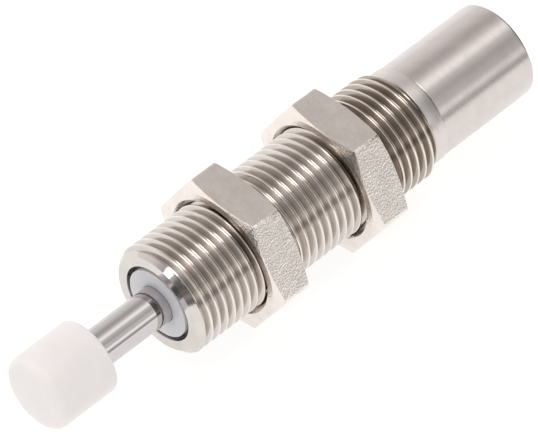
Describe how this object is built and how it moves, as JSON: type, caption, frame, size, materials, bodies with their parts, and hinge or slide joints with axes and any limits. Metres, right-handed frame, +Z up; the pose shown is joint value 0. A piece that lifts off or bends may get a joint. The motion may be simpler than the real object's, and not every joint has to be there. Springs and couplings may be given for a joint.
{
  "type": "miniature hydraulic shock absorber",
  "caption": "Miniature screw-in hydraulic shock absorber with a plastic buffer on a sprung rod, a threaded steel housing and thin hexagon lock nuts.",
  "frame": {"origin": "centre of the housing's front face, which is the stop face, on the axis", "axes": "+X along the axis towards the rear, the rod and buffer towards -X, +Z up, nut flats facing +Z and -Z"},
  "size_m": [0.0627, 0.017, 0.0148],
  "materials": {
    "thread_steel": "cut stainless thread, bright crests",
    "barrel_steel": "fine turned stainless, satin",
    "nut_steel": "nickel-grey, grainy blasted flats",
    "rod_steel": "hardened and polished",
    "inner_steel": "turned",
    "spring_steel": "drawn spring steel",
    "bronze": "turned bronze",
    "buffer_plastic": "natural white, moulded, matte",
    "bearing_plastic": "cool white, turned",
    "seal_rubber": "black",
    "foam": "closed-cell foam"
  },
  "bodies": {
    "housing": {"threaded_sleeve": "thread_steel", "rear_barrel": "barrel_steel", "barrel_o_ring": "seal_rubber", "front_bearing": "bearing_plastic", "retaining_ring": "spring_steel", "rod_seal": "seal_rubber", "guide_bush": "bronze", "guide_o_ring": "seal_rubber", "accumulator_foam": "foam", "pressure_tube": "inner_steel", "tube_base": "inner_steel", "fill_ball": "spring_steel", "fill_screw": "inner_steel", "return_spring": "spring_steel"},
    "rod": {"piston_rod": "rod_steel", "buffer": "buffer_plastic", "piston_head": "inner_steel", "spring_seat": "inner_steel", "piston_nut": "inner_steel"},
    "valve_ring": {"check_ring": "bronze"},
    "front_nut": {"front_lock_nut": "nut_steel"},
    "rear_nut": {"rear_lock_nut": "nut_steel"}
  },
  "joints": [
    {"name": "rod_stroke", "type": "slide", "parent": "housing", "child": "rod", "axis": [1, 0, 0], "range_m": [0, 0.008], "stiffness_N_per_m": 800, "springref_m": -0.00625, "deforming": ["return_spring"]},
    {"name": "check_ring_float", "type": "slide", "parent": "rod", "child": "valve_ring", "axis": [1, 0, 0], "range_m": [0, 0.0003]},
    {"name": "front_nut_travel", "type": "slide", "parent": "housing", "child": "front_nut", "axis": [1, 0, 0], "range_m": [-0.007, 0.004]},
    {"name": "rear_nut_travel", "type": "slide", "parent": "housing", "child": "rear_nut", "axis": [1, 0, 0], "range_m": [-0.005, 0.006]}
  ]
}
